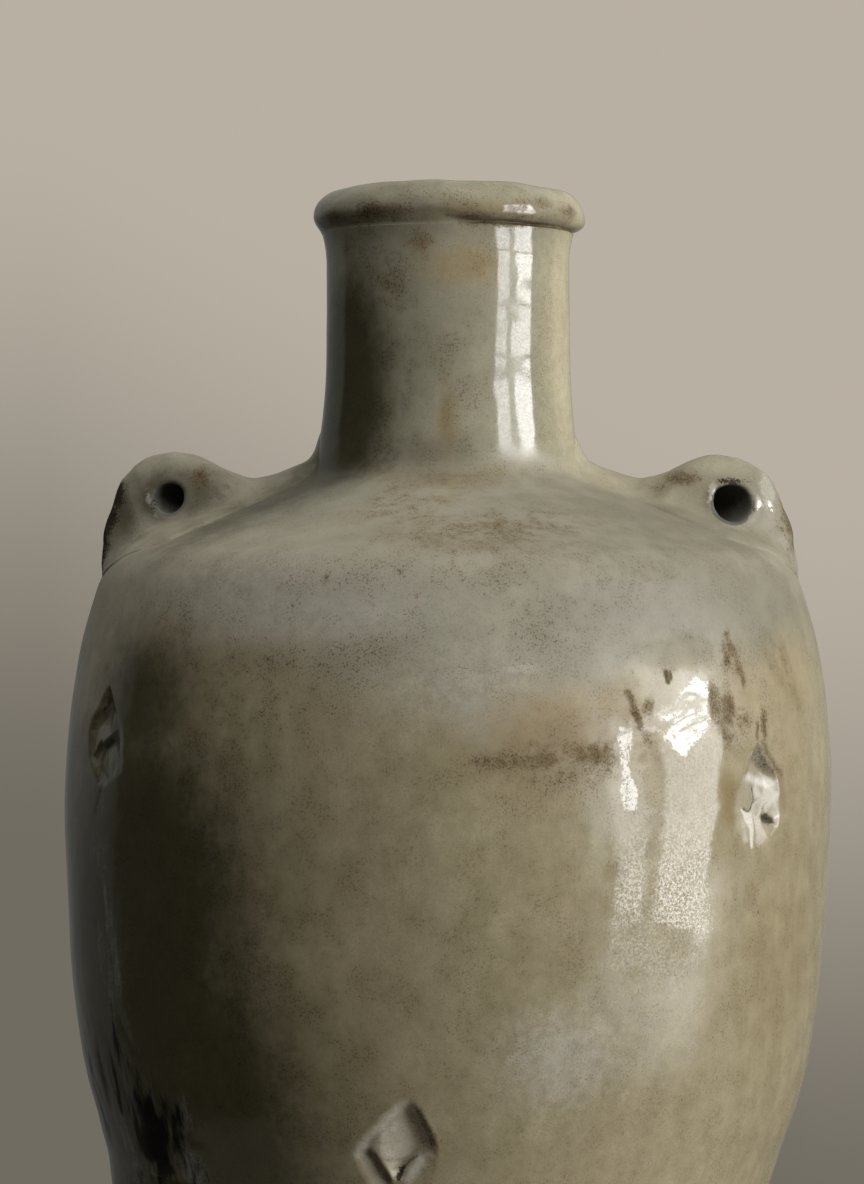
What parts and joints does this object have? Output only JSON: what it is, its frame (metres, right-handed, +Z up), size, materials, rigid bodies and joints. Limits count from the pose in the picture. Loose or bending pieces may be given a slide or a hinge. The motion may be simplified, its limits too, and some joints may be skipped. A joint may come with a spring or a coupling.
{
  "type": "bottle vase",
  "caption": "Stoneware bottle vase with a swelling body, rounded shoulder, straight neck, rolled lip and a pierced cord lug on each side of the shoulder.",
  "frame": {"origin": "centre of the foot ring's resting face, on the vase's axis", "axes": "+Z up along the vase's axis; the lugs stand on +X and -X; the pictured front faces -Y"},
  "size_m": [0.2, 0.2, 0.315],
  "materials": {
    "bare_clay": "unglazed fired stoneware",
    "belly_glaze": "semi-gloss olive ash glaze",
    "shoulder_glaze": "satin grey-green ash glaze",
    "neck_glaze": "semi-gloss grey-green ash glaze",
    "lip_glaze": "semi-gloss grey-green ash glaze, brown under the roll",
    "lug_glaze": "semi-gloss grey-green ash glaze, iron brown where it breaks"
  },
  "bodies": {
    "root": {"foot_ring": "bare_clay", "lower_body": "belly_glaze", "upper_body": "shoulder_glaze", "neck": "neck_glaze", "lip_ring": "lip_glaze", "lug_left": "lug_glaze", "lug_right": "lug_glaze"}
  },
  "joints": []
}
